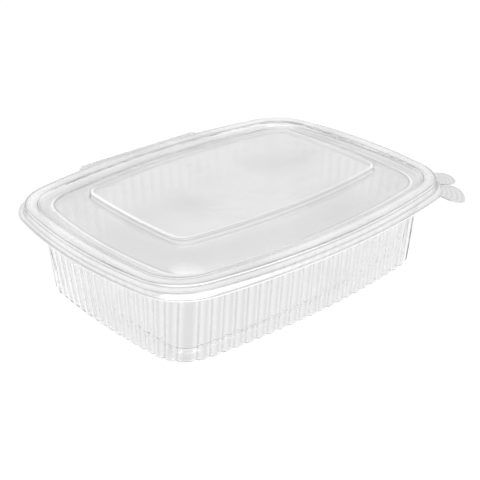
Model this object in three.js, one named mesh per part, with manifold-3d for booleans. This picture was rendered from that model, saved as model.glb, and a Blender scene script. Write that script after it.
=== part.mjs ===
import * as THREE from 'three';
import * as BufferGeometryUtils from 'three/addons/utils/BufferGeometryUtils.js';
import Module from 'manifold-3d';

// Clear hinged meal box: a ribbed tray and a stepped lid, formed together from one thin sheet.
// Millimetres. The origin is the centre of the tray's underside, +X runs along the length,
// +Y points to the hinge and +Z is up. The box is shut.

const sheet = 0.55; // thickness of the formed sheet
const gap = 0.3; // clearance between the tray and the lid

// Heights
const lipTop = 47.2; // top face of the lid's flat lip
const ledgeTop = 49.3; // where the lid's skirt meets the sloping flange
const rimTop = 53.5; // top face of the lid's rim
const grooveFloor = 50.7; // bottom of the groove inside the rim
const panelFoot = 56.3; // where the arched shoulder ends
const panelTop = 59.8; // top face of the middle panel
const wallTopHeight = 50; // height at which the wall reaches its top outline
const ribTop = 41;
const ribFoot = 2.6; // where the wall bends into the floor
const floorBead = 1.4; // height of the stiffening bead in the floor

// Rim and lip
const rimRound = 1.6; // rounding between the skirt and the rim
const lipWidth = 1; // flat lip outside the skirt
const skirtFlare = 0.8; // how far the skirt's foot stands out from its top

// Tray mouth, shoulder, foot and floor
const beadReach = 2.3; // how far outside the mouth the tray's rim bead ends
const shoulderHeight = 46; // where the stacking shoulder meets the wall
const ribRunOut = 2.5; // height over which the ribs run out at the top
const footRound = 2; // bend between wall and floor
const beadInset = 8.5; // from the wall's foot to the floor bead
const beadWidth = 4;

// Shoulder and step of the lid
const stepRun = 0.9; // how far the step's foot stands out from the panel
const archSteps = 5;
const archBunching = 1.4; // brings the rings closer together near the groove
const archFullness = 0.8; // below 1 the shoulder bulges more

// Outlines. Each is a barrel shape: long and short sides are shallow arcs, joined by round corners.
const flangeEdge = { halfLength: 114.5, halfWidth: 87.6, longArc: 466, shortArc: 286, corner: 32.3 };
const rimEdge = { halfLength: 112, halfWidth: 84.4, longArc: 390, shortArc: 268, corner: 31.4 };
const mouth = { halfLength: 102.3, halfWidth: 74.2, longArc: 446, shortArc: 411, corner: 23.7 };
const grooveEdge = { halfLength: 95.5, halfWidth: 70.1, longArc: 400, shortArc: 270, corner: 20 };
const panelEdge = { halfLength: 76.3, halfWidth: 48.4, longArc: 406, shortArc: 440, corner: 9 };
const wallTop = { halfLength: 101.8, halfWidth: 73.9, longArc: 446, shortArc: 411, corner: 23.7 };
const wallFoot = { halfLength: 97.3, halfWidth: 69.4, longArc: 545.5, shortArc: 440.5, corner: 23.6 };

// Ribs of the tray wall
const ribDepth = 1.3;
const longRibs = 11; // from the valley in the middle of a long side to the corner panel
const shortRibs = 8.5; // from the corner panel to the crown in the middle of a short side
const cornerPanel = 11; // plain panel on each corner, from valley to valley
const panelPlace = 87.3; // along the wall, from the middle of a long side to the panel's middle
const shoulderShare = 0.25; // of a pitch, from a valley to the crown beside it

// Hinge: a round bead along the back, split at the fold
const hingeHalf = 44; // half-length of the bead at full radius
const hingeTaper = 5; // length over which each end of the bead runs out
const lipRunOut = 2; // the lips stay straight this far past the ends of the bead
const hingeLine = 88.2; // straight back edge of both lips
const beadRadius = 3.1;
const beadEndShare = 0.35; // of the radius that is left at the bead's ends
const beadSteps = 8;
const rootShare = 0.7; // of the lip's width that the bead's root covers
const rootInset = 0.07; // what joins a lip is this much thinner on each face

// Segments in a quarter of a plain ring
const longSteps = 5;
const cornerSteps = 6;
const shortSteps = 4;

// Start, bulge, tip, tuck and end of each finger tab, seen from above
const lidTabCorners = [[110, -52], [123, -58], [113.5, -69.9], [108, -75], [103, -69.5]];
const trayTabCorners = [[104.2, -68], [112, -77], [97.5, -89.5], [88, -98], [89.5, -78]];
const tabCurveSteps = 6;

const wasm = await Module();
wasm.setup();

function grown(outline, by) {
  const result = {};
  for (const key of Object.keys(outline)) result[key] = outline[key] + by;
  return result;
}

function between(first, second, share) {
  const result = {};
  for (const key of Object.keys(first)) result[key] = first[key] * (1 - share) + second[key] * share;
  return result;
}

// The crowns of the ribs follow this outline as the wall opens upwards.
function wallAt(height) {
  return between(wallFoot, wallTop, height / wallTopHeight);
}

// A quarter of an outline, from the middle of the long side to the middle of the short side.
// Returns its three arcs with their centres, radii and angles.
function quarterArcs(outline) {
  const { halfLength, halfWidth, longArc, shortArc, corner } = outline;
  const longCentre = new THREE.Vector2(0, halfWidth - longArc);
  const shortCentre = new THREE.Vector2(halfLength - shortArc, 0);
  const toLong = longArc - corner;
  const toShort = shortArc - corner;
  const across = shortCentre.clone().sub(longCentre);
  const apart = across.length();
  const along = (toLong ** 2 - toShort ** 2 + apart ** 2) / (2 * apart);
  const aside = Math.sqrt(toLong ** 2 - along ** 2);
  const unit = across.normalize();
  const cornerCentre = new THREE.Vector2(
    longCentre.x + unit.x * along + unit.y * aside,
    longCentre.y + unit.y * along - unit.x * aside,
  );
  const longEnd = cornerCentre.clone().sub(longCentre).angle();
  const shortStart = Math.atan2(cornerCentre.y - shortCentre.y, cornerCentre.x - shortCentre.x);
  return [
    { centre: longCentre, radius: longArc, from: Math.PI / 2, to: longEnd, steps: longSteps },
    { centre: cornerCentre, radius: corner, from: longEnd, to: shortStart, steps: cornerSteps },
    { centre: shortCentre, radius: shortArc, from: shortStart, to: 0, steps: shortSteps },
  ].map((arc) => ({ ...arc, length: arc.radius * (arc.from - arc.to) }));
}

// The point at a distance along a quarter, moved outwards by rise, with its outward direction.
function pointAlong(arcs, distance, rise) {
  let left = distance;
  let index = 0;
  while (index < arcs.length - 1 && left > arcs[index].length) {
    left -= arcs[index].length;
    index += 1;
  }
  const arc = arcs[index];
  const angle = arc.from - left / arc.radius;
  const reach = arc.radius + rise;
  const outX = Math.cos(angle);
  const outY = Math.sin(angle);
  return { x: arc.centre.x + reach * outX, y: arc.centre.y + reach * outY, outX, outY };
}

function totalLength(arcs) {
  return arcs.reduce((sum, arc) => sum + arc.length, 0);
}

// Distances along a quarter for a plain ring.
function plainMarks(arcs) {
  const marks = [{ distance: 0, rise: 0 }];
  let start = 0;
  for (const arc of arcs) {
    for (let step = 1; step <= arc.steps; step += 1) {
      marks.push({ distance: start + (arc.length * step) / arc.steps, rise: 0 });
    }
    start += arc.length;
  }
  return marks;
}

// Distances along a quarter for a ribbed ring: each valley, and the crown's edge on both sides.
function ribMarks(arcs, depth) {
  const longEnd = panelPlace - cornerPanel / 2;
  const shortStart = panelPlace + cornerPanel / 2;
  const longPitch = longEnd / longRibs;
  const shortPitch = (totalLength(arcs) - shortStart) / shortRibs;
  const marks = [];
  const valley = (distance, pitch) => {
    const edge = shoulderShare * pitch;
    if (distance > 0) marks.push({ distance: distance - edge, rise: 0 });
    marks.push({ distance, rise: -depth });
    marks.push({ distance: distance + edge, rise: 0 });
  };
  for (let rib = 0; rib <= longRibs; rib += 1) valley(rib * longPitch, longPitch);
  marks.push({ distance: panelPlace, rise: 0 });
  for (let rib = 0; rib < shortRibs; rib += 1) valley(shortStart + rib * shortPitch, shortPitch);
  return marks;
}

// A whole ring from the marks of one quarter, mirrored into the other three.
// Each point keeps its outward direction, and its share of the way round, which pairs up
// rings with different counts.
function ring(station) {
  const outline = grown(station.outline, station.out);
  const arcs = quarterArcs(outline);
  const whole = totalLength(arcs);
  const marks = station.ribs ? ribMarks(arcs, ribDepth * station.ribs) : plainMarks(arcs);
  const quarter = marks.map((mark) => ({
    ...pointAlong(arcs, mark.distance, mark.rise),
    share: mark.distance / whole,
  }));
  const points = [];
  const add = (entry, flipX, flipY, share) => {
    const x = entry.x * flipX;
    const y = entry.y * flipY;
    const last = points[points.length - 1];
    if (last && Math.hypot(last.x - x, last.y - y) < 1e-6) return;
    const straight = station.backEdge && y > 0 && Math.abs(x) < hingeHalf + hingeTaper + lipRunOut;
    points.push({
      x,
      y: straight ? hingeLine + station.out : y,
      z: station.z,
      outX: entry.outX * flipX,
      outY: entry.outY * flipY,
      share,
    });
  };
  const back = [...quarter].reverse();
  quarter.forEach((entry) => add(entry, 1, 1, entry.share));
  back.forEach((entry) => add(entry, 1, -1, 2 - entry.share));
  quarter.forEach((entry) => add(entry, -1, -1, 2 + entry.share));
  back.forEach((entry) => add(entry, -1, 1, 4 - entry.share));
  const first = points[0];
  const last = points[points.length - 1];
  if (Math.hypot(first.x - last.x, first.y - last.y) < 1e-6) points.pop();
  return points;
}

// Moves a face square to itself by depth, below where it is drawn. Its rings run from the
// edge inwards, and it is level at both ends.
function sunk(rings, depth) {
  const level = new THREE.Vector2(0, 1);
  const reach = rings.map((points) => Math.max(...points.map((point) => point.x)));
  const sideways = (from, to, index) => {
    if (rings[from].length !== rings[to].length) return reach[to] - reach[from];
    const [start, end] = [rings[from][index], rings[to][index]];
    return (end.x - start.x) * start.outX + (end.y - start.y) * start.outY;
  };
  const square = (from, to, index) => {
    if (from < 0 || to >= rings.length) return level;
    const climb = rings[to][0].z - rings[from][0].z;
    return new THREE.Vector2(climb, -sideways(from, to, index)).normalize();
  };
  return rings.map((points, row) => points.map((point, index) => {
    const before = square(row - 1, row, index);
    const after = square(row, row + 1, index);
    const scale = depth / (1 + before.dot(after));
    return {
      ...point,
      x: point.x - point.outX * (before.x + after.x) * scale,
      y: point.y - point.outY * (before.x + after.x) * scale,
      z: point.z - (before.y + after.y) * scale,
    };
  }));
}

// One closed body from rings that each follow the last, with a single point at both ends.
function bodyFromRings(rings) {
  const positions = [];
  const starts = [];
  for (const points of rings) {
    starts.push(positions.length / 3);
    for (const point of points) positions.push(point.x, point.y, point.z);
  }
  const triangles = [];
  for (let level = 0; level < rings.length - 1; level += 1) {
    const lower = rings[level];
    const upper = rings[level + 1];
    const lowerSteps = lower.length > 1 ? lower.length : 0;
    const upperSteps = upper.length > 1 ? upper.length : 0;
    const shareAt = (points, index) => points[index % points.length].share + (index >= points.length ? 4 : 0);
    const span = (from, to) => {
      const [start, end] = [lower[from % lowerSteps], upper[to % upperSteps]];
      return Math.hypot(start.x - end.x, start.y - end.y, start.z - end.z);
    };
    const lowerFirst = (i, j) => {
      if (lowerSteps !== upperSteps) return shareAt(lower, i + 1) <= shareAt(upper, j + 1);
      return i === j ? span(i + 1, j) <= span(i, j + 1) : i < j;
    };
    let i = 0;
    let j = 0;
    while (i < lowerSteps || j < upperSteps) {
      const onLower = j >= upperSteps || (i < lowerSteps && lowerFirst(i, j));
      const a = starts[level] + (i % lower.length);
      const b = starts[level + 1] + (j % upper.length);
      if (onLower) {
        triangles.push(a, b, starts[level] + ((i + 1) % lower.length));
        i += 1;
      } else {
        triangles.push(a, b, starts[level + 1] + ((j + 1) % upper.length));
        j += 1;
      }
    }
  }
  return closedSolid(positions, triangles);
}

function signedVolume(positions, triangles) {
  const corner = (index) => new THREE.Vector3().fromArray(positions, index * 3);
  let volume = 0;
  for (let t = 0; t < triangles.length; t += 3) {
    const [a, b, c] = [corner(triangles[t]), corner(triangles[t + 1]), corner(triangles[t + 2])];
    volume += a.dot(b.cross(c)) / 6;
  }
  return volume;
}

function closedSolid(positions, triangles) {
  const faces = [...triangles];
  if (signedVolume(positions, faces) < 0) faces.reverse();
  const mesh = new wasm.Mesh({
    numProp: 3,
    vertProperties: new Float32Array(positions),
    triVerts: new Uint32Array(faces),
  });
  return new wasm.Manifold(mesh);
}

function solidFromGeometry(geometry) {
  const bare = geometry.clone();
  bare.deleteAttribute('normal');
  bare.deleteAttribute('uv');
  const merged = BufferGeometryUtils.mergeVertices(bare, 1e-4);
  return closedSolid([...merged.attributes.position.array], [...merged.index.array]);
}

function geometryFromSolid(solid) {
  const { vertProperties, triVerts, numProp } = solid.getMesh();
  const geometry = new THREE.BufferGeometry();
  const positions = [];
  for (let v = 0; v < vertProperties.length; v += numProp) {
    positions.push(vertProperties[v], vertProperties[v + 1], vertProperties[v + 2]);
  }
  geometry.setAttribute('position', new THREE.Float32BufferAttribute(positions, 3));
  geometry.setIndex([...triVerts]);
  geometry.computeVertexNormals();
  return geometry;
}

// The lid's face from its lip up to the flat of its rim. The tray's rim nests below it.
function rimRings() {
  const stations = [
    { outline: flangeEdge, out: 0, z: lipTop, backEdge: true },
    { outline: flangeEdge, out: -lipWidth, z: lipTop, backEdge: true },
    { outline: rimEdge, out: skirtFlare, z: ledgeTop },
  ];
  for (const angle of [0, Math.PI / 4, Math.PI / 2]) {
    stations.push({
      outline: rimEdge,
      out: -rimRound + rimRound * Math.cos(angle),
      z: rimTop - rimRound + rimRound * Math.sin(angle),
    });
  }
  return stations.map(ring);
}

// Rim, groove, arched shoulder, step and middle panel of the lid.
function lidRings() {
  const stations = [
    { outline: mouth, out: 0.9, z: rimTop },
    { outline: mouth, out: 0.2, z: rimTop - 0.3 },
    { outline: mouth, out: -0.1, z: rimTop - 1 },
    { outline: mouth, out: -0.6, z: grooveFloor + 0.5 },
    { outline: mouth, out: -1.3, z: grooveFloor },
    { outline: grooveEdge, out: 0, z: grooveFloor + 0.2 },
  ];
  const stepFoot = grown(panelEdge, stepRun);
  const archFoot = grooveFloor + 0.2;
  for (let step = 1; step <= archSteps; step += 1) {
    const share = (step / archSteps) ** archBunching;
    stations.push({
      outline: between(grooveEdge, stepFoot, share),
      out: 0,
      z: archFoot + (panelFoot - archFoot) * Math.sin((share * Math.PI) / 2) ** archFullness,
    });
  }
  stations.push(
    { outline: panelEdge, out: 0.4, z: panelTop - 0.8 },
    { outline: panelEdge, out: 0, z: panelTop - 0.2 },
    { outline: panelEdge, out: -0.8, z: panelTop },
  );
  return [...rimRings(), ...stations.map(ring)];
}

// Upper face of the tray: bead under the lid's rim, mouth, stacking shoulder, ribbed wall, floor.
function trayRings() {
  const bead = sunk([...rimRings(), ring({ outline: mouth, out: beadReach, z: rimTop })], sheet + gap);
  const beadTop = rimTop - sheet - gap;
  const stations = [
    { outline: mouth, out: 1.2, z: beadTop - 0.4 },
    { outline: mouth, out: 0.9, z: beadTop - 1.6 },
    { outline: mouth, out: 0.5, z: beadTop - 4.6 },
    { outline: wallAt(shoulderHeight), out: -sheet, z: shoulderHeight },
    { outline: wallAt(ribTop + ribRunOut), out: -sheet, z: ribTop + ribRunOut },
    { outline: wallAt(ribTop), out: -sheet, z: ribTop, ribs: 1 },
    { outline: wallAt(ribFoot), out: -sheet, z: ribFoot, ribs: 1 },
    { outline: wallFoot, out: -0.25 * footRound - sheet, z: 0.25 * footRound + sheet, ribs: 0.9 },
    { outline: wallFoot, out: -footRound - 2 * sheet, z: sheet },
    { outline: wallFoot, out: -beadInset, z: sheet },
    { outline: wallFoot, out: -beadInset - 1, z: floorBead + sheet },
    { outline: wallFoot, out: 1 - beadInset - beadWidth, z: floorBead + sheet },
    { outline: wallFoot, out: -beadInset - beadWidth, z: sheet },
  ];
  return [...bead, ...stations.map(ring)];
}

// A sheet of even thickness below the given face, closed round its edge.
function shell(face) {
  const below = sunk(face, sheet);
  const centre = (points) => [{ x: 0, y: 0, z: points[0].z, share: 0 }];
  return bodyFromRings([
    centre(face[face.length - 1]),
    ...[...face].reverse(),
    ...below,
    centre(below[below.length - 1]),
  ]);
}

// Half of the hinge bead, curving up from the lid's lip or down from the tray's, to the fold.
function hingeBead(lipFace, upwards) {
  const sections = [];
  const root = hingeLine - lipWidth * rootShare;
  for (const x of [-hingeHalf - hingeTaper, -hingeHalf, hingeHalf, hingeHalf + hingeTaper]) {
    const radius = Math.abs(x) > hingeHalf ? beadRadius * beadEndShare : beadRadius;
    const arc = (reach) => {
      const points = [];
      for (let step = 0; step <= beadSteps; step += 1) {
        const angle = Math.PI - (Math.PI * step) / beadSteps;
        points.push([hingeLine + radius + reach * Math.cos(angle), reach * Math.sin(angle)]);
      }
      return points;
    };
    const outer = arc(radius + sheet / 2 - rootInset).slice(1).reverse();
    const rootTop = sheet - rootInset;
    const section = [
      [root, rootInset],
      ...arc(radius - sheet / 2 + rootInset).map(([y, height]) => [y, Math.max(height, rootInset)]),
      ...outer.map(([y, height]) => [y, Math.max(height, y < hingeLine + radius ? sheet : rootInset)]),
      [hingeLine - sheet / 2 + rootInset, rootTop],
      [root, rootTop],
    ];
    sections.push(section.map(([y, height]) => new THREE.Vector3(x, y, lipFace + upwards * height)));
  }
  return sectionedSolid(sections);
}

// One closed body through sections that all have the same number of points.
function sectionedSolid(sections) {
  const count = sections[0].length;
  const positions = sections.flatMap((section) => section.flatMap((point) => point.toArray()));
  const triangles = [];
  for (let s = 0; s < sections.length - 1; s += 1) {
    for (let k = 0; k < count; k += 1) {
      const a = s * count + k;
      const b = s * count + ((k + 1) % count);
      triangles.push(a, b, b + count, a, b + count, a + count);
    }
  }
  const last = (sections.length - 1) * count;
  for (const [start, turned] of [[0, true], [last, false]]) {
    const outline = sections[start / count].map((point) => new THREE.Vector2(point.y, point.z));
    const sense = Math.sign(THREE.ShapeUtils.area(outline));
    for (const [a, b, c] of THREE.ShapeUtils.triangulateShape(outline, [])) {
      const same = Math.sign(THREE.ShapeUtils.area([outline[a], outline[b], outline[c]])) === sense;
      const cap = same === turned ? [c, b, a] : [a, b, c];
      triangles.push(...cap.map((index) => start + index));
    }
  }
  return closedSolid(positions, triangles);
}

// Finger tabs at the corner away from the hinge: two rounded leaves, side by side.
function leafTab(corners, underside) {
  const [start, bulge, tip, tuck, end] = corners.map(([x, y]) => new THREE.Vector2(x, y));
  const shape = new THREE.Shape();
  shape.moveTo(start.x, start.y);
  shape.quadraticCurveTo(bulge.x, bulge.y, tip.x, tip.y);
  shape.quadraticCurveTo(tuck.x, tuck.y, end.x, end.y);
  shape.closePath();
  const depth = sheet - 2 * rootInset;
  const geometry = new THREE.ExtrudeGeometry(shape, {
    depth,
    bevelEnabled: false,
    curveSegments: tabCurveSteps,
  });
  geometry.translate(0, 0, underside + rootInset);
  return solidFromGeometry(geometry);
}

const lidTab = leafTab(lidTabCorners, lipTop - sheet);
const trayTab = leafTab(trayTabCorners, lipTop - 2 * sheet - gap);

const lidSolid = shell(lidRings())
  .add(hingeBead(lipTop - sheet, 1))
  .add(lidTab);
const traySolid = shell(trayRings())
  .add(hingeBead(lipTop - sheet - gap, -1))
  .add(trayTab);

function clearPlastic() {
  return new THREE.MeshStandardMaterial({
    color: 0xe9edef,
    roughness: 0.08,
    metalness: 0,
    transparent: true,
    opacity: 0.35,
  });
}

function named(name, solid) {
  const mesh = new THREE.Mesh(geometryFromSolid(solid), clearPlastic());
  mesh.name = name;
  return mesh;
}

const mealBox = new THREE.Group();
mealBox.add(named('tray', traySolid));
mealBox.add(named('lid', lidSolid));

export default mealBox;
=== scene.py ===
import math

import bpy
import numpy as np
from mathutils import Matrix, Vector


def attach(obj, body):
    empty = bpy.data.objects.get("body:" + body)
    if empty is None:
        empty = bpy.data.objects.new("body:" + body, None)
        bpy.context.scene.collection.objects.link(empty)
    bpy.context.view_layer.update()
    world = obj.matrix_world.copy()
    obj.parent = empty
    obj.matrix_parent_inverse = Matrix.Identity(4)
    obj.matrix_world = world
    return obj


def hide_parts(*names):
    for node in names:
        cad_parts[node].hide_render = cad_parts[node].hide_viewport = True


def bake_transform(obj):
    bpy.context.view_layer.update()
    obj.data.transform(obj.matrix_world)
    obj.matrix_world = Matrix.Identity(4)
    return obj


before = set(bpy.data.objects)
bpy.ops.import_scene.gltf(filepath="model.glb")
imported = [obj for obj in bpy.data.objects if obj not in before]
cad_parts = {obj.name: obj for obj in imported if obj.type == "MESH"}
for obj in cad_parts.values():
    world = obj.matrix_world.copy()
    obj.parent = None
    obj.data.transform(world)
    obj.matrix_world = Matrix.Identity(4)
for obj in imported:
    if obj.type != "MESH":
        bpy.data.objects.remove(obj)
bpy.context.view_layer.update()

mm = 0.001

# Clear meal box, shut. Sizes are in millimetres, heights from the surface it stands on.
# An outline is half length, half width, long side's arc, short side's arc, corner radius.
outlines = {
    "flangeEdge": (114.5, 87.6, 466, 286, 32.3),
    "rimEdge": (112, 84.4, 390, 268, 31.4),
    "mouth": (102.3, 74.2, 446, 411, 23.7),
    "grooveEdge": (95.5, 70.1, 400, 270, 20),
    "panelEdge": (76.3, 48.4, 406, 440, 9),
    "wallTop": (101.8, 73.9, 446, 411, 23.7),
    "wallFoot": (97.3, 69.4, 545.5, 440.5, 23.6),
}

boxSizes = {
    "sheet": 0.55,         # thickness of the formed sheet
    "gap": 0.3,            # between tray and lid
    "lipTop": 47.2,
    "lipWidth": 1.0,
    "lipReach": 1.45,      # how far in from its edge the lip keeps its straight back
    "ledgeTop": 49.3,
    "rimTop": 53.5,
    "rimRound": 1.6,
    "skirtFlare": 0.8,
    "grooveFloor": 50.7,
    "panelFoot": 56.3,
    "panelTop": 59.8,
    "stepRun": 0.9,        # how far the step's foot stands out from the panel
    "wallTopHeight": 50.0,
}

hingeSizes = {
    "line": 88.2,          # straight back edge of both lips
    "half": 44.0,          # half-length of the bead
    "taper": 5.0,          # how long each end takes to run out
    "radius": 3.3,         # outside of the bead
    "sideStraight": 51.0,  # the lips stay straight this far out
}

# start, bulge, tip, tuck and end of each finger tab, seen from above
tabShapes = {
    "lid": [(110, -52), (122.7, -58), (113.5, -69.9), (108, -75), (103, -69.5)],
    "tray": [(104.2, -68), (112, -77), (97.5, -89.5), (88, -98), (89.5, -78)],
}


def makeCamera():
    place = {"azimuth": -0.7291, "elevation": 0.4682, "distance": 0.60026,
             "target": (-0.01241, -0.01751, 0.030), "lens": 79.37}
    azimuth, elevation = place["azimuth"], place["elevation"]
    back = Vector((math.sin(azimuth) * math.cos(elevation),
                   -math.cos(azimuth) * math.cos(elevation),
                   math.sin(elevation)))
    data = bpy.data.cameras.new("camera")
    data.lens = place["lens"]
    data.sensor_width = 36
    data.clip_start = 0.01
    camera = bpy.data.objects.new("camera", data)
    camera.location = Vector(place["target"]) + back * place["distance"]
    camera.rotation_mode = "QUATERNION"
    camera.rotation_quaternion = (-back).to_track_quat("-Z", "Y")
    bpy.context.scene.collection.objects.link(camera)
    bpy.context.scene.camera = camera


makeCamera()
print("camera placed")


def mixed(first, second, share):
    return tuple(a * (1 - share) + b * share for a, b in zip(first, second))


def wallAt(height):
    return mixed(outlines["wallFoot"], outlines["wallTop"], height / boxSizes["wallTopHeight"])


# the three arcs of a quarter, from the middle of the long side to the middle of the short one
def quarterArcs(outline):
    halfLength, halfWidth, longArc, shortArc, corner = outline
    longCentre = np.array((0, halfWidth - longArc))
    shortCentre = np.array((halfLength - shortArc, 0))
    across = shortCentre - longCentre
    apart = np.hypot(*across)
    unit = across / apart
    toLong, toShort = longArc - corner, shortArc - corner
    along = (toLong ** 2 - toShort ** 2 + apart ** 2) / (2 * apart)
    aside = math.sqrt(toLong ** 2 - along ** 2)
    cornerCentre = longCentre + unit * along + np.array((unit[1], -unit[0])) * aside
    longEnd = math.atan2(*(cornerCentre - longCentre)[::-1])
    shortStart = math.atan2(*(cornerCentre - shortCentre)[::-1])
    return [(longCentre, longArc, math.pi / 2, longEnd),
            (cornerCentre, corner, longEnd, shortStart),
            (shortCentre, shortArc, shortStart, 0.0)]


def arcLengths(arcs):
    return [radius * (start - stop) for centre, radius, start, stop in arcs]


# points at the given distances along a quarter, with their outward directions
def pointsAlong(arcs, distances):
    lengths = arcLengths(arcs)
    places, outwards = [], []
    for distance in distances:
        index = 0
        while index < 2 and distance > lengths[index] + 1e-9:
            distance -= lengths[index]
            index += 1
        centre, radius, start, stop = arcs[index]
        angle = start - distance / radius
        outward = np.array((math.cos(angle), math.sin(angle)))
        places.append(centre + radius * outward)
        outwards.append(outward)
    return np.array(places), np.array(outwards)


farOff = 99.0              # a distance that no rib and no tab reaches
plainSteps = (56, 26, 38)  # on the long side, the corner and the short side of a quarter


# even steps on each arc: for pieces without ribs
def plainMarks(arcs, onWall):
    marks, start = [0.0], 0.0
    for length, count in zip(arcLengths(arcs), plainSteps):
        marks += [start + length * step / count for step in range(1, count + 1)]
        start += length
    return marks, [farOff] * len(marks)


ribSizes = {
    "long": 11,            # from the valley in the middle of a long side to the corner panel
    "short": 8.5,          # from the corner panel to the crown in the middle of a short side
    "cornerPanel": 11.0,   # plain panel on each corner, from valley to valley
    "panelPlace": 87.3,    # along the wall, from a long side's middle to the panel's
    "panelShare": 0.573,   # the same place, as a share of a quarter, where no rib runs
    "steps": (0.07, 0.16, 0.25),  # marks beside a valley, as shares of the pitch
    "crownEdge": 0.25,     # where the crown begins, as a share of the pitch
    "panelMarks": (-0.3, 0, 0.3),
    "bandGaps": (0, 0.3, 0.64, 1, 2),  # from valley to crown, for the two rows below
    # painted shade and painted highlight across a rib, by gap: darkest in the valley, lightest on
    # the flanks
    "paintedShadeLevels": (0.55, 0.2, 0, 0.05, 0.25),
    "paintedGleamLevels": (0, 0.06, 0.2, 0.14, 0),
}
crownGap = 2.0             # the distance that marks the middle of a crown


# Marks that crowd round each valley between two ribs, with the distance to that valley:
# 0 in the valley, 1 where the crown begins. Ribs stand upright on the wall.
def ribMarks(arcs, onWall):
    whole = sum(arcLengths(arcs))
    middle = mixed((ribSizes["panelShare"] * whole,), (ribSizes["panelPlace"],), onWall)[0]
    half = ribSizes["cornerPanel"] / 2 * (middle / ribSizes["panelPlace"])
    longPitch = (middle - half) / ribSizes["long"]
    shortPitch = (whole - middle - half) / ribSizes["short"]
    marks, gaps = [], []

    def crown(place):
        marks.append(place)
        gaps.append(crownGap)

    def valley(centre, pitch):
        aside = ribSizes["steps"]
        for step in [-step for step in aside[::-1]] + [0.0] + list(aside):
            if centre + step * pitch > -0.01:
                marks.append(centre + step * pitch)
                gaps.append(abs(step) / ribSizes["crownEdge"])

    for rib in range(ribSizes["long"] + 1):
        valley(rib * longPitch, longPitch)
        if rib < ribSizes["long"]:
            crown((rib + 0.5) * longPitch)
    for share in ribSizes["panelMarks"]:
        crown(middle + share * half)
    for rib in range(int(ribSizes["short"]) + 1):
        centre = middle + half + rib * shortPitch
        valley(centre, shortPitch)
        crown(centre + 0.5 * shortPitch)
    return marks, gaps


# one whole ring: a quarter mirrored into the other three
def ringOf(outline, marksOf, onWall, lipEdge=None):
    arcs = quarterArcs(outline)
    marks, gaps = marksOf(arcs, onWall)
    places, outwards = pointsAlong(arcs, marks)
    order = list(range(len(marks)))
    inner = order[1:-1][::-1]
    picked = order + inner + order + inner
    flipX = np.array([1] * (len(order) + len(inner)) + [-1] * (len(order) + len(inner)))
    flipY = np.array([1] * len(order) + [-1] * len(inner) + [-1] * len(order) + [1] * len(inner))
    flips = np.stack((flipX, flipY), 1)
    places, outwards = places[picked] * flips, outwards[picked] * flips
    if lipEdge is not None:
        straight = (places[:, 1] > 0) & (abs(places[:, 0]) < hingeSizes["sideStraight"])
        places[straight, 1] = hingeSizes["line"] + lipEdge
        outwards[straight] = (0, 1)
    return places, outwards, np.array(gaps)[picked]


# A station is one place on a piece's profile. It holds an outline's five sizes, then:
column = {
    "height": 5,
    "rib": 6,              # how far a rib shows there
    "bend": 7,             # how wide the bend is rounded
    "onWall": 8,           # whether the marks keep the wall's upright lines
    "paintedShade": 9,           # painted shade: how much darker a sharp crease is drawn there
    "paintedGleam": 10,           # painted highlight: how much glow the bend is given there
}


# A face is a list of rows from the sheet's edge to its middle; each row is a ring of points.
def makeRow(station, marksOf):
    outline, height, ribShare = station[:5], station[column["height"]], station[column["rib"]]
    paintedShade, paintedGleam, onWall = (station[column[name]] for name in ("paintedShade", "paintedGleam", "onWall"))
    beyond = station[0] - outlines["flangeEdge"][0]
    onLip = beyond > -boxSizes["lipReach"]
    places, outwards, gaps = ringOf(outline, marksOf, onWall, beyond if onLip else None)
    points = np.column_stack((places, np.full(len(places), float(height))))
    # painted shade and painted highlight on the ribs, added to those of the station
    dark, light = (np.interp(gaps, ribSizes["bandGaps"], ribSizes[name])
                   for name in ("paintedShadeLevels", "paintedGleamLevels"))
    return {"points": points, "outwards": outwards, "gaps": gaps, "ribShare": ribShare,
            "flat": np.zeros(len(places), bool), "edgeGap": np.full(len(places), farOff),
            "paintedShade": paintedShade + ribShare * dark, "paintedGleam": paintedGleam + ribShare * light}


# a station on an outline that is moved out; banded adds its painted shade and its painted highlight
def at(outline, out, height, bend=0.0, rib=0.0, onWall=0.0):
    return np.array([size + out for size in outline] + [height, rib, bend, onWall, 0.0, 0.0])


rounding = {
    "mostShare": 0.45,     # of the run on either side of a bend
    "least": 0.02,         # a narrower bend stays sharp
    "steps": (0, 0.33, 0.67, 1),
}


# the profile with each bend rounded off
def softened(stations):
    def apart(first, second):
        return math.hypot(first[0] - second[0],
                          first[column["height"]] - second[column["height"]])

    result = [stations[0]]
    for before, here, after in zip(stations, stations[1:], stations[2:]):
        toBefore, toAfter = apart(before, here), apart(here, after)
        most = rounding["mostShare"]
        cut = min(here[column["bend"]], most * toBefore, most * toAfter)
        if cut < rounding["least"]:
            result.append(here)
            continue
        start = here + (before - here) * cut / toBefore
        stop = here + (after - here) * cut / toAfter
        for share in rounding["steps"]:
            result.append(start * (1 - share) ** 2 + 2 * here * share * (1 - share)
                          + stop * share ** 2)
    return result + [stations[-1]]


def curvePoints(start, pull, stop, count):
    share = np.linspace(0, 1, count)[:, None]
    start, pull, stop = (np.array(point, float) for point in (start, pull, stop))
    return start * (1 - share) ** 2 + 2 * pull * share * (1 - share) + stop * share ** 2


# the outline of a finger tab, spread over the lip points that it grows from
def tabOutline(corners, count):
    start, bulge, tip, tuck, end = corners
    toTip, toEnd = 60, 40  # points on the two curves
    first = curvePoints(start, bulge, tip, toTip)
    second = curvePoints(tip, tuck, end, toEnd)
    line = np.vstack((first, second[1:]))
    steps = np.hypot(*np.diff(line, axis=0).T)
    run = np.concatenate(([0], np.cumsum(steps)))
    tipShare = run[toTip - 1] / run[-1]
    shares = np.linspace(0, 1, count)
    shares[np.argmin(abs(shares - tipShare))] = tipShare
    return np.column_stack([np.interp(shares * run[-1], run, line[:, axis]) for axis in (0, 1)])


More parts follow.
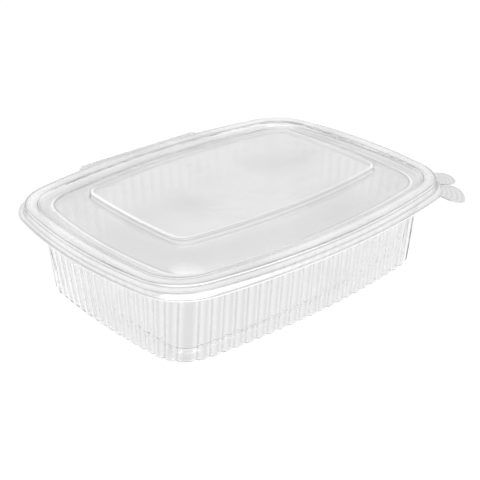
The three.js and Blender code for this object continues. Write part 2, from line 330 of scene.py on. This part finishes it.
edgeSizes = {
    "rows": 10,
    "lipShare": 0.9,       # how far in these rows come on the plain lip
    "tabShare": 0.97,      # and on the finger tab
    "ridgePaintedShades": (0.2, 0.7),  # painted shade on the tab's ridges, turn by turn
    "beadTurn": {"lid": 170, "tray": 180},  # degrees from the fold to the lip
    "beadSink": 0.2,       # how far the bead reaches into the lip
    "leastRadius": 0.3,
}


# rows outside the lip: a plain edge, the finger tab and the half of the hinge bead
def edgeRows(lip, name):
    upwards = 1 if name == "lid" else -1
    corners = tabShapes[name]
    points, outwards = lip["points"], lip["outwards"].copy()
    count = len(points)
    flatEdge = points.copy()
    flatEdge[:, :2] += outwards * boxSizes["lipWidth"]

    def nearest(corner):
        return int(np.argmin(np.hypot(points[:, 0] - corner[0], points[:, 1] - corner[1])))

    tab = np.arange(nearest(corners[0]), nearest(corners[-1]) + 1)
    leaf = tabOutline(corners, len(tab))
    atBack = points[:, 1] > 0
    hinge = atBack & (abs(points[:, 0]) < hingeSizes["half"] + hingeSizes["taper"])
    offEnd = np.clip((abs(points[:, 0]) - hingeSizes["half"]) / hingeSizes["taper"], 0, 1)
    inset = 0 if upwards > 0 else boxSizes["sheet"]
    radius = np.maximum(hingeSizes["radius"] * (1 - offEnd) - inset, edgeSizes["leastRadius"])
    foldHeight = points[:, 2] - (boxSizes["sheet"] if upwards > 0 else 0)
    rows = []
    for step in range(edgeSizes["rows"]):
        share = step / (edgeSizes["rows"] - 1)  # 0 at the edge, 1 at the inner end of these rows
        row = flatEdge + (points - flatEdge) * share * edgeSizes["lipShare"]
        edgeGap = np.full(count, farOff)
        inward = points[tab, :2] - leaf
        row[tab, :2] = leaf + inward * share * edgeSizes["tabShare"]
        edgeGap[tab] = np.hypot(*(row[tab, :2] - leaf).T)
        angle = share * math.radians(edgeSizes["beadTurn"][name])
        centre = hingeSizes["line"] - edgeSizes["beadSink"] + radius + inset
        arcY = centre + radius * math.cos(angle)
        arcZ = foldHeight + upwards * radius * math.sin(angle)
        if upwards > 0:
            arcZ = np.maximum(arcZ, np.where(share > 0.5, points[:, 2], foldHeight))
        row[hinge, 1] = arcY[hinge]
        row[hinge, 2] = arcZ[hinge]
        flat = np.zeros(count, bool)
        flat[tab] = True
        # painted shade on the tab's ridges, row by row
        ridge = edgeSizes["ridgePaintedShades"][step % 2]
        rows.append({"points": row, "outwards": outwards, "gaps": lip["gaps"], "ribShare": 0.0,
                     "flat": flat, "edgeGap": edgeGap, "paintedShade": np.where(flat, ridge, 0.0),
                     "paintedGleam": 0.0})
    return rows


# moves a face square to itself, below where it is drawn
def sunk(rows, depth):
    points = np.array([row["points"] for row in rows])
    outwards = np.array([row["outwards"] for row in rows])
    flat = np.array([row["flat"] for row in rows])
    step = points[1:] - points[:-1]
    sideways = np.einsum("rnk,rnk->rn", step[:, :, :2], outwards[:-1])
    sideways = np.where(flat[:-1], -np.hypot(step[:, :, 0], step[:, :, 1]), sideways)
    normals = np.stack((step[:, :, 2], -sideways), 2)
    normals /= np.maximum(np.linalg.norm(normals, axis=2, keepdims=True), 1e-9)
    before = np.concatenate((normals[:1], normals))
    after = np.concatenate((normals, normals[-1:]))
    leastSpread = 0.3  # keeps a sharp fold from reaching far out
    scale = depth / np.maximum(1 + (before * after).sum(2), leastSpread)
    shift = (before + after) * scale[:, :, None]
    moved = points.copy()
    moved[:, :, :2] -= outwards * shift[:, :, :1]
    moved[:, :, 2] -= shift[:, :, 1]
    return [{**row, "points": moved[index]} for index, row in enumerate(rows)]


# the rim as the lid has it; the tray's bead nests under it
def rimStations():
    height, rimEdge = boxSizes, outlines["rimEdge"]
    rimTop, rimRound = height["rimTop"], height["rimRound"]
    return [at(outlines["flangeEdge"], -height["lipWidth"], height["lipTop"], 0.5),
            at(rimEdge, height["skirtFlare"], height["ledgeTop"], 0.8),
            at(rimEdge, 0, rimTop, rimRound * 2)]


archSizes = {
    "steps": 12,
    "bunching": 1.4,       # brings the rows closer together near the groove
    "fullness": 0.8,       # below 1 the shoulder bulges more
}


# Rim, groove, arched shoulder, step and middle panel. After the outline, at takes how far out
# of it the station lies, its height and its bend.
def lidStations():
    rimTop, floor = boxSizes["rimTop"], boxSizes["grooveFloor"]
    mouth, groove, panel = (outlines[name] for name in ("mouth", "grooveEdge", "panelEdge"))
    stepFoot = tuple(size + boxSizes["stepRun"] for size in panel)
    stations = rimStations() + [at(mouth, 0.2, rimTop, 0.9),
                                at(mouth, -0.7, floor, 0.8),
                                at(groove, 0, floor + 0.1, 0.8)]
    archFoot = floor + 0.2
    for step in range(1, archSizes["steps"] + 1):
        share = (step / archSizes["steps"]) ** archSizes["bunching"]
        rise = math.sin(share * math.pi / 2) ** archSizes["fullness"]
        last = step == archSizes["steps"]
        stations.append(at(mixed(groove, stepFoot, share), 0,
                           archFoot + (boxSizes["panelFoot"] - archFoot) * rise,
                           bend=0.5 if last else 0))
    panelTop = boxSizes["panelTop"]
    stations.append(at(panel, 0.2, panelTop, 0.5))
    for share in (0.08, 0.3, 0.55, 0.8):
        stations.append(at([size * (1 - share) for size in panel], 0, panelTop))
    return stations


# where the lid's profile gets a painted dark line of shade or a painted highlight:
# half length and height there, half the band's width, how grey, how light
paintedLidBands = [
    (113.1, 48.3, 0.9, 0.0, 0.21),   # skirt
    (112.8, 49.3, 0.5, 0.8, 0.0),    # ledge
    (112.4, 51.0, 1.2, 0.0, 0.24),
    (112.0, 52.2, 0.5, 0.8, 0.0),    # rounding of the rim
    (111.6, 52.9, 0.6, 0.0, 0.36),
    (110.9, 53.4, 0.5, 0.8, 0.0),
    (107.0, 53.5, 3.5, 0.0, 0.3),
    (102.2, 52.6, 1.6, 0.0, 0.36),   # mouth
    (96.3, 50.8, 0.8, 0.0, 0.54),    # inner edge of the groove
    (95.1, 51.0, 0.6, 0.5, 0.0),
    (77.2, 56.3, 0.6, 0.7, 0.0),     # foot and top of the step
    (76.7, 58.7, 0.7, 0.85, 0.0),
    (75.8, 59.8, 1.3, 0.0, 0.9),
]


# adds the stations that narrow bands need, and gives each its painted shade and its painted
# highlight
def banded(stations, bands):
    searchStep, leastSpacing = 0.05, 0.08
    line = np.array(stations)
    steps = np.hypot(np.diff(line[:, 0]), np.diff(line[:, column["height"]]))
    run = np.concatenate(([0], np.cumsum(steps)))
    fine = np.arange(0, run[-1], searchStep)
    fineX, fineZ = (np.interp(fine, run, line[:, index]) for index in (0, column["height"]))
    centres = [fine[np.argmin(np.hypot(fineX - band[0], fineZ - band[1]))] for band in bands]
    places = set(np.round(run, 3))
    for centre, band in zip(centres, bands):
        places |= {round(centre + side * band[2], 3) for side in (-1, -0.5, 0, 0.5, 1)}
    places = np.array(sorted(place for place in places if 0 <= place <= run[-1]))
    places = places[np.concatenate(([True], np.diff(places) > leastSpacing))]
    line = np.column_stack([np.interp(places, run, values) for values in line.T])
    for centre, band in zip(centres, bands):
        share = np.clip(1 - abs(places - centre) / band[2], 0, 1)
        for name, level in (("paintedShade", band[3]), ("paintedGleam", band[4])):
            values = line[:, column[name]]
            line[:, column[name]] = np.maximum(values, share * level)
    return list(line)


def faceRows(stations, marksOf, bands=()):
    return [makeRow(station, marksOf) for station in banded(softened(stations), bands)]


def lidRows():
    rows = faceRows(lidStations(), plainMarks, paintedLidBands)
    return edgeRows(rows[0], "lid") + rows


footSizes = {
    "ribTop": 41.0,
    "fade": 1.8,           # height over which a rib runs out
    "footRound": 2.0,      # bend between wall and floor
    "ribRunOut": 7.0,      # from the wall's foot, where the ribs have left the floor
    "floorBead": 1.4,
    "beadInset": 8.5,
    "beadWidth": 4.0,
}


# rim bead, mouth, stacking shoulder, ribbed wall and floor
def trayRows():
    sheet, gap = boxSizes["sheet"], boxSizes["gap"]
    mouth, foot = outlines["mouth"], outlines["wallFoot"]
    rim = faceRows(rimStations() + [at(mouth, 2.3, boxSizes["rimTop"])], ribMarks)
    beadTop = boxSizes["rimTop"] - sheet - gap
    ribTop, fade, footRound = footSizes["ribTop"], footSizes["fade"], footSizes["footRound"]
    bead, inset, width = (footSizes[name] for name in ("floorBead", "beadInset", "beadWidth"))
    stations = [at(mouth, 1.9, beadTop - 0.05),
                at(mouth, 1.0, beadTop - 0.2, 0.9),
                at(mouth, 0.5, beadTop - 4.6, 0.6, onWall=0.6)]

    def onWall(height, rib, bend=0.0):
        stations.append(at(wallAt(height), -sheet, height, bend, rib, 1.0))

    onWall(45.5, 0.0, 0.8)
    for share, rib in ((1, 0), (0.6, 0.3), (0.3, 0.75), (0, 1)):
        onWall(ribTop + share * fade, rib)
    for height in (29, 17, 6):
        onWall(height, 1.0)
    stations += [at(foot, -sheet, sheet, footRound, 0.95, 1.0),
                 at(foot, -sheet - 1.5 * footRound, sheet, 0, 0.5, 1.0),
                 at(foot, -footSizes["ribRunOut"], sheet, 0, 0, 0.7),
                 at(foot, -inset, sheet, 0.5),
                 at(foot, -inset - 1, sheet + bead, 0.6),
                 at(foot, -inset - width + 1, sheet + bead, 0.6),
                 at(foot, -inset - width, sheet, 0.5)]
    last = tuple(size - 18 for size in foot)
    for share in (0, 0.3, 0.6, 0.85):
        stations.append(at([size * (1 - share) for size in last], 0, sheet))
    rows = sunk(rim, sheet + gap) + faceRows(stations, ribMarks)
    return edgeRows(rows[0], "tray") + rows


# A closed sheet of even thickness below the face, with what its ribs, tabs and cut edge need
# as attributes.
def sheetMesh(name, rows):
    below = sunk(rows, boxSizes["sheet"])
    around = len(rows[0]["points"])
    grid = rows[::-1] + below
    centres = [(0, 0, rows[-1]["points"][0, 2]), (0, 0, below[-1]["points"][0, 2])]
    points = np.vstack([row["points"] for row in grid] + [centres])
    first = np.arange(around)
    second = np.roll(first, -1)
    faces = []
    for level in range(len(grid) - 1):
        low, high = level * around, (level + 1) * around
        faces += np.column_stack((low + first, low + second, high + second, high + first)).tolist()
    lastRing = (len(grid) - 1) * around
    top, bottom = len(points) - 2, len(points) - 1
    faces += [(top, b, a) for a, b in zip(first.tolist(), second.tolist())]
    faces += [(bottom, lastRing + a, lastRing + b) for a, b in zip(first.tolist(), second.tolist())]
    mesh = bpy.data.meshes.new(name)
    mesh.from_pydata((points * mm).tolist(), [], faces)

    def spread(key, fill):
        values = [np.broadcast_to(row[key], (around,)) for row in grid]
        return np.concatenate(values + [[fill, fill]]).astype(np.float32)

    for key, fill in (("gaps", farOff), ("ribShare", 0.0), ("edgeGap", farOff), ("paintedShade", 0.0),
                      ("paintedGleam", 0.0)):
        layer = mesh.attributes.new(key, "FLOAT", "POINT")
        layer.data.foreach_set("value", spread(key, fill))
    cut = np.zeros(len(faces), bool)
    cut[(len(rows) - 1) * around:len(rows) * around] = True
    mesh.attributes.new("cutEdge", "BOOLEAN", "FACE").data.foreach_set("value", cut)
    outward = np.vstack([row["outwards"] for row in grid] + [np.zeros((2, 2))])
    outward = np.column_stack((outward, np.zeros(len(outward)))).astype(np.float32)
    layer = mesh.attributes.new("outward", "FLOAT_VECTOR", "POINT")
    layer.data.foreach_set("vector", outward.ravel())
    mesh.update()
    return mesh


def placed(name, mesh):
    piece = bpy.data.objects.new(name, mesh)
    bpy.context.scene.collection.objects.link(piece)
    return piece


def addSocket(tree, name, kind, inOut, default=None):
    socket = tree.interface.new_socket(name, in_out=inOut, socket_type=kind)
    if default is not None:
        socket.default_value = default
    return socket


# slow waves and fine ripple left in a formed sheet, with its uneven gloss
def formedRippleGroup():
    tree = bpy.data.node_groups.new("formedRipple", "ShaderNodeTree")
    addSocket(tree, "Wave Scale", "NodeSocketFloat", "INPUT", 28.0)
    addSocket(tree, "Ripple Scale", "NodeSocketFloat", "INPUT", 160.0)
    addSocket(tree, "Ripple Share", "NodeSocketFloat", "INPUT", 0.25)
    addSocket(tree, "Gloss Roughness", "NodeSocketFloat", "INPUT", 0.02)
    addSocket(tree, "Haze Roughness", "NodeSocketFloat", "INPUT", 0.09)
    addSocket(tree, "Height", "NodeSocketFloat", "OUTPUT")
    addSocket(tree, "Roughness", "NodeSocketFloat", "OUTPUT")
    nodes, links = tree.nodes, tree.links
    source = nodes.new("NodeGroupInput")
    result = nodes.new("NodeGroupOutput")
    place = nodes.new("ShaderNodeTexCoord")
    wave = nodes.new("ShaderNodeTexNoise")
    wave.inputs["Detail"].default_value = 1.0
    ripple = nodes.new("ShaderNodeTexNoise")
    ripple.inputs["Detail"].default_value = 2.0
    mixer = nodes.new("ShaderNodeMix")
    haze = nodes.new("ShaderNodeMapRange")
    haze.inputs["From Min"].default_value = 0.4
    haze.inputs["From Max"].default_value = 0.75
    links.new(place.outputs["Object"], wave.inputs["Vector"])
    links.new(place.outputs["Object"], ripple.inputs["Vector"])
    links.new(source.outputs["Wave Scale"], wave.inputs["Scale"])
    links.new(source.outputs["Ripple Scale"], ripple.inputs["Scale"])
    links.new(source.outputs["Ripple Share"], mixer.inputs["Factor"])
    links.new(wave.outputs["Fac"], mixer.inputs["A"])
    links.new(ripple.outputs["Fac"], mixer.inputs["B"])
    links.new(mixer.outputs["Result"], result.inputs["Height"])
    links.new(wave.outputs["Fac"], haze.inputs["Value"])
    links.new(source.outputs["Gloss Roughness"], haze.inputs["To Min"])
    links.new(source.outputs["Haze Roughness"], haze.inputs["To Max"])
    links.new(haze.outputs["Result"], result.inputs["Roughness"])
    return tree


formedRipple = formedRippleGroup()


# painted shade greys the fine creases and a painted highlight glows on the bends, by two attributes
# of the mesh
def paintedBendShadeGroup():
    tree = bpy.data.node_groups.new("paintedBendShade", "ShaderNodeTree")
    addSocket(tree, "Plain Color", "NodeSocketColor", "INPUT", (1, 1, 1, 1))
    addSocket(tree, "Painted Shade Color", "NodeSocketColor", "INPUT", (0.7, 0.7, 0.7, 1))
    addSocket(tree, "No Painted Gleam", "NodeSocketColor", "INPUT", (0, 0, 0, 1))
    addSocket(tree, "Painted Gleam Color", "NodeSocketColor", "INPUT", (0.2, 0.2, 0.2, 1))
    addSocket(tree, "Color", "NodeSocketColor", "OUTPUT")
    addSocket(tree, "Painted Gleam", "NodeSocketColor", "OUTPUT")
    nodes, links = tree.nodes, tree.links
    source = nodes.new("NodeGroupInput")
    result = nodes.new("NodeGroupOutput")
    colorA, colorB, colorResult = 6, 7, 2  # a Mix node's sockets for colours
    for attribute, plain, full, output in (("paintedShade", "Plain Color", "Painted Shade Color", "Color"),
                                           ("paintedGleam", "No Painted Gleam", "Painted Gleam Color", "Painted Gleam")):
        share = nodes.new("ShaderNodeAttribute")
        share.attribute_name = attribute
        tint = nodes.new("ShaderNodeMix")
        tint.data_type = "RGBA"
        links.new(share.outputs["Fac"], tint.inputs["Factor"])
        links.new(source.outputs[plain], tint.inputs[colorA])
        links.new(source.outputs[full], tint.inputs[colorB])
        links.new(tint.outputs[colorResult], result.inputs[output])
    return tree


paintedBendShade = paintedBendShadeGroup()


def clearSheet(name, finish):
    material = bpy.data.materials.new(name)
    material.use_nodes = True
    nodes, links = material.node_tree.nodes, material.node_tree.links
    shader = nodes["Principled BSDF"]
    lines = nodes.new("ShaderNodeGroup")
    lines.node_tree = paintedBendShade
    for key in ("Plain Color", "Painted Shade Color", "No Painted Gleam", "Painted Gleam Color"):
        lines.inputs[key].default_value = finish[key]
    # painted shade darkens the base colour at creases, and the painted highlight on bends glows as
    # emission
    links.new(lines.outputs["Color"], shader.inputs["Base Color"])
    links.new(lines.outputs["Painted Gleam"], shader.inputs["Emission Color"])
    shader.inputs["Emission Strength"].default_value = 1.0
    shader.inputs["Transmission Weight"].default_value = 1.0
    shader.inputs["IOR"].default_value = finish["ior"]
    ripple = nodes.new("ShaderNodeGroup")
    ripple.node_tree = formedRipple
    for key in ("Wave Scale", "Ripple Scale", "Ripple Share", "Gloss Roughness", "Haze Roughness"):
        ripple.inputs[key].default_value = finish[key]
    bump = nodes.new("ShaderNodeBump")
    bump.inputs["Distance"].default_value = finish["relief"]
    links.new(ripple.outputs["Height"], bump.inputs["Height"])
    links.new(ripple.outputs["Roughness"], shader.inputs["Roughness"])
    links.new(bump.outputs["Normal"], shader.inputs["Normal"])
    return material


# painted shade colour for creases and painted highlight colour for bends
clearColors = {"Plain Color": (0.99, 0.99, 0.99, 1), "Painted Shade Color": (0.7, 0.7, 0.7, 1),
               "No Painted Gleam": (0, 0, 0, 1), "Painted Gleam Color": (0.2, 0.2, 0.2, 1), "ior": 1.57}
sheetFinish = {
    "tray": {**clearColors, "relief": 0.0006, "Wave Scale": 26.0, "Ripple Scale": 150.0,
             "Ripple Share": 0.2, "Gloss Roughness": 0.03, "Haze Roughness": 0.1},
    "lid": {**clearColors, "relief": 0.0005, "Wave Scale": 20.0, "Ripple Scale": 120.0,
            "Ripple Share": 0.15, "Gloss Roughness": 0.13, "Haze Roughness": 0.21},
}


# where the sheet is cut it is rough and opaque; its pale grey is painted light in place of the
# light that the clear sheet carries out at its edge
def cutSheetEdge():
    material = bpy.data.materials.new("cutSheetEdge")
    material.use_nodes = True
    shader = material.node_tree.nodes["Principled BSDF"]
    shader.inputs["Base Color"].default_value = (0.85, 0.85, 0.85, 1)
    shader.inputs["Roughness"].default_value = 0.5
    return material


clearTray = clearSheet("clearTray", sheetFinish["tray"])
clearLid = clearSheet("clearLid", sheetFinish["lid"])
cutEdge = cutSheetEdge()
print("materials made")


# presses the ribs in, raises the ridges on a tab, and gives the sheet and its edge a finish
def pressedRibsTree():
    tree = bpy.data.node_groups.new("pressedRibs", "GeometryNodeTree")
    addSocket(tree, "Sheet", "NodeSocketGeometry", "INPUT")
    addSocket(tree, "Rib Depth", "NodeSocketFloat", "INPUT", 0.0013)
    addSocket(tree, "Ridge Height", "NodeSocketFloat", "INPUT", 0.0)
    addSocket(tree, "Ridge Pitch", "NodeSocketFloat", "INPUT", 2.0)
    addSocket(tree, "Finish", "NodeSocketMaterial", "INPUT")
    addSocket(tree, "Edge Finish", "NodeSocketMaterial", "INPUT")
    addSocket(tree, "Sheet", "NodeSocketGeometry", "OUTPUT")
    nodes, links = tree.nodes, tree.links
    source = nodes.new("NodeGroupInput")
    result = nodes.new("NodeGroupOutput")

    def named(name, kind="FLOAT"):
        node = nodes.new("GeometryNodeInputNamedAttribute")
        node.data_type = kind
        node.inputs["Name"].default_value = name
        return node.outputs["Attribute"]

    def maths(operation, first, second=None):
        node = nodes.new("ShaderNodeMath")
        node.operation = operation
        for socket, value in zip(node.inputs, (first, second)):
            if isinstance(value, (int, float)):
                socket.default_value = value
            elif value is not None:
                links.new(value, socket)
        return node.outputs[0]

    groove = nodes.new("ShaderNodeMapRange")  # 1 in the valley, 0 on the crown
    groove.interpolation_type = "SMOOTHSTEP"
    groove.inputs["From Min"].default_value = 1.0
    groove.inputs["From Max"].default_value = 0.0
    links.new(named("gaps"), groove.inputs["Value"])
    depth = maths("MULTIPLY", groove.outputs["Result"], source.outputs["Rib Depth"])
    depth = maths("MULTIPLY", depth, named("ribShare"))
    push = nodes.new("ShaderNodeVectorMath")
    push.operation = "SCALE"
    links.new(named("outward", "FLOAT_VECTOR"), push.inputs[0])
    links.new(maths("MULTIPLY", depth, -1.0), push.inputs["Scale"])
    onTab = maths("LESS_THAN", named("edgeGap"), farOff / 2)
    turns = maths("DIVIDE", named("edgeGap"), source.outputs["Ridge Pitch"])
    wave = maths("SINE", maths("MULTIPLY", turns, 2 * math.pi))
    rise = maths("MULTIPLY", maths("MULTIPLY", wave, onTab), source.outputs["Ridge Height"])
    lift = nodes.new("ShaderNodeCombineXYZ")
    links.new(rise, lift.inputs["Z"])
    total = nodes.new("ShaderNodeVectorMath")
    links.new(push.outputs[0], total.inputs[0])
    links.new(lift.outputs[0], total.inputs[1])
    move = nodes.new("GeometryNodeSetPosition")
    links.new(source.outputs["Sheet"], move.inputs["Geometry"])
    links.new(total.outputs[0], move.inputs["Offset"])
    realize = nodes.new("GeometryNodeRealizeInstances")
    links.new(move.outputs["Geometry"], realize.inputs["Geometry"])
    finish = nodes.new("GeometryNodeSetMaterial")
    links.new(realize.outputs["Geometry"], finish.inputs["Geometry"])
    links.new(source.outputs["Finish"], finish.inputs["Material"])
    edgeFinish = nodes.new("GeometryNodeSetMaterial")
    links.new(finish.outputs["Geometry"], edgeFinish.inputs["Geometry"])
    links.new(named("cutEdge", "BOOLEAN"), edgeFinish.inputs["Selection"])
    links.new(source.outputs["Edge Finish"], edgeFinish.inputs["Material"])
    links.new(edgeFinish.outputs["Geometry"], result.inputs["Sheet"])
    return tree


pressedRibs = pressedRibsTree()


# runs a tree on a mesh, and gives back the plain mesh that it makes
def baked(name, mesh, tree, values):
    piece = placed(name, mesh)
    modifier = piece.modifiers.new(tree.name, "NODES")
    modifier.node_group = tree
    identifiers = {item.name: item.identifier for item in tree.interface.items_tree
                   if item.in_out == "INPUT"}
    for key, value in values.items():
        modifier[identifiers[key]] = value
    bpy.context.view_layer.update()
    evaluated = piece.evaluated_get(bpy.context.evaluated_depsgraph_get())
    made = bpy.data.meshes.new_from_object(evaluated)
    piece.modifiers.clear()
    piece.data = made
    made.name = name
    for polygon in made.polygons:
        polygon.use_smooth = True
    made.set_sharp_from_angle(angle=math.radians(60))
    return piece


traySheet = baked("traySheet", sheetMesh("trayFlat", trayRows()), pressedRibs,
                  {"Rib Depth": 1.3 * mm, "Ridge Height": 0.12 * mm, "Ridge Pitch": 2.2,
                   "Finish": clearTray, "Edge Finish": cutEdge})
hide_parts("tray")
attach(traySheet, "tray")
print("tray made:", len(traySheet.data.polygons), "faces")

lidSheet = baked("lidSheet", sheetMesh("lidFlat", lidRows()), pressedRibs,
                 {"Rib Depth": 0.0, "Ridge Height": 0.0, "Finish": clearLid,
                  "Edge Finish": cutEdge})
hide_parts("lid")
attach(lidSheet, "lid")
print("lid made:", len(lidSheet.data.polygons), "faces")


# the thin line of sheet at the fold
def makeHingeFilm():
    film = {"half": 44.0, "near": 94.2, "far": 94.5, "low": 46.36, "high": 46.64,
            "lengthSteps": 44, "riseSteps": 4}
    heights = np.linspace(film["low"], film["high"], film["riseSteps"] + 1)
    rows = [(film["far"], height) for height in heights]
    rows += [(film["near"], height) for height in heights[::-1]]
    count, stations = len(rows), film["lengthSteps"] + 1
    points, faces = [], []
    for station in range(stations):
        x = film["half"] * (2 * station / film["lengthSteps"] - 1)
        points += [(x * mm, y * mm, z * mm) for y, z in rows]
    for station in range(stations - 1):
        start = station * count
        for index in range(count):
            after = (index + 1) % count
            faces.append((start + index, start + after, start + count + after,
                          start + count + index))
    faces.append(tuple(range(count))[::-1])
    faces.append(tuple(range((stations - 1) * count, stations * count)))
    mesh = bpy.data.meshes.new("hingeFilm")
    mesh.from_pydata(points, [], faces)
    mesh.materials.append(clearLid)
    piece = placed("hingeFilm", mesh)
    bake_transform(piece)


makeHingeFilm()
print("hinge film made")


def makeTable():
    size = 3.0
    mesh = bpy.data.meshes.new("tableTop")
    height = -0.0003
    mesh.from_pydata([(-size, -size, height), (size, -size, height), (size, size, height),
                      (-size, size, height)], [], [(0, 1, 2, 3)])
    table = placed("tableTop", mesh)
    material = bpy.data.materials.new("glowingWhite")  # lit from below, as clear goods are shot
    material.use_nodes = True
    nodes, links = material.node_tree.nodes, material.node_tree.links
    glow = {"seen": 1.0, "through": 0.76}  # straight on or mirrored, and through clear sheet, where the dimmer glow is painted shade in place of the shadow under the box
    shader = nodes["Principled BSDF"]
    shader.inputs["Base Color"].default_value = (0.03, 0.03, 0.03, 1)
    shader.inputs["Roughness"].default_value = 0.9
    shader.inputs["Specular IOR Level"].default_value = 0.0
    shader.inputs["Emission Color"].default_value = (1, 1, 1, 1)
    path = nodes.new("ShaderNodeLightPath")
    throughSheet = nodes.new("ShaderNodeMath")
    throughSheet.operation = "GREATER_THAN"
    throughSheet.inputs[1].default_value = 0.5
    straight = nodes.new("ShaderNodeMath")  # never mirrored on the way
    straight.operation = "LESS_THAN"
    straight.inputs[1].default_value = 0.5
    # painted shade: the table glows dimmer where it is seen straight through the clear sheet
    paintedShadeMask = nodes.new("ShaderNodeMath")
    paintedShadeMask.operation = "MULTIPLY"
    strength = nodes.new("ShaderNodeMapRange")
    strength.inputs["To Min"].default_value = glow["seen"]
    strength.inputs["To Max"].default_value = glow["through"]
    links.new(path.outputs["Transmission Depth"], throughSheet.inputs[0])
    links.new(path.outputs["Glossy Depth"], straight.inputs[0])
    links.new(throughSheet.outputs[0], paintedShadeMask.inputs[0])
    links.new(straight.outputs[0], paintedShadeMask.inputs[1])
    links.new(paintedShadeMask.outputs[0], strength.inputs["Value"])
    links.new(strength.outputs["Result"], shader.inputs["Emission Strength"])
    mesh.materials.append(material)


def makeLights():
    lightPlaces = {
        "topLight": {"place": (-0.35, -0.45, 1.4), "width": 1.6, "height": 1.2, "power": 20.0},
        "frontLight": {"place": (0.45, -1.0, 1.25), "width": 1.2, "height": 0.6, "power": 6.0},
    }
    for name, light in lightPlaces.items():
        data = bpy.data.lights.new(name, "AREA")
        data.shape = "RECTANGLE"
        data.size, data.size_y = light["width"], light["height"]
        data.energy = light["power"]
        lamp = bpy.data.objects.new(name, data)
        lamp.location = light["place"]
        aim = Vector((0, 0, 0.03)) - Vector(light["place"])
        lamp.rotation_mode = "QUATERNION"
        lamp.rotation_quaternion = aim.to_track_quat("-Z", "Y")
        bpy.context.scene.collection.objects.link(lamp)


# a soft studio: white round the sides, grey higher up, bright overhead
def makeSurroundings():
    # how high, how bright
    bands = [(0.0, 1.0), (0.55, 0.95), (0.7, 0.5), (0.88, 0.5), (0.97, 2.0), (1.0, 2.0)]
    world = bpy.data.worlds.new("softStudio")
    world.use_nodes = True
    nodes, links = world.node_tree.nodes, world.node_tree.links
    place = nodes.new("ShaderNodeTexCoord")
    split = nodes.new("ShaderNodeSeparateXYZ")
    ramp = nodes.new("ShaderNodeValToRGB")
    stops = ramp.color_ramp.elements
    stops.remove(stops[1])
    for index, (height, glow) in enumerate(bands):
        stop = stops[0] if index == 0 else stops.new(height)
        stop.position = height
        stop.color = (glow, glow, glow, 1)
    links.new(place.outputs["Generated"], split.inputs["Vector"])
    links.new(split.outputs["Z"], ramp.inputs["Fac"])
    links.new(ramp.outputs["Color"], nodes["Background"].inputs["Color"])
    bpy.context.scene.world = world


makeTable()
makeLights()
makeSurroundings()
scene = bpy.context.scene
scene.view_settings.view_transform = "Standard"
scene.cycles.max_bounces = 32
scene.cycles.transmission_bounces = 32
scene.cycles.transparent_max_bounces = 32
print("studio lit")
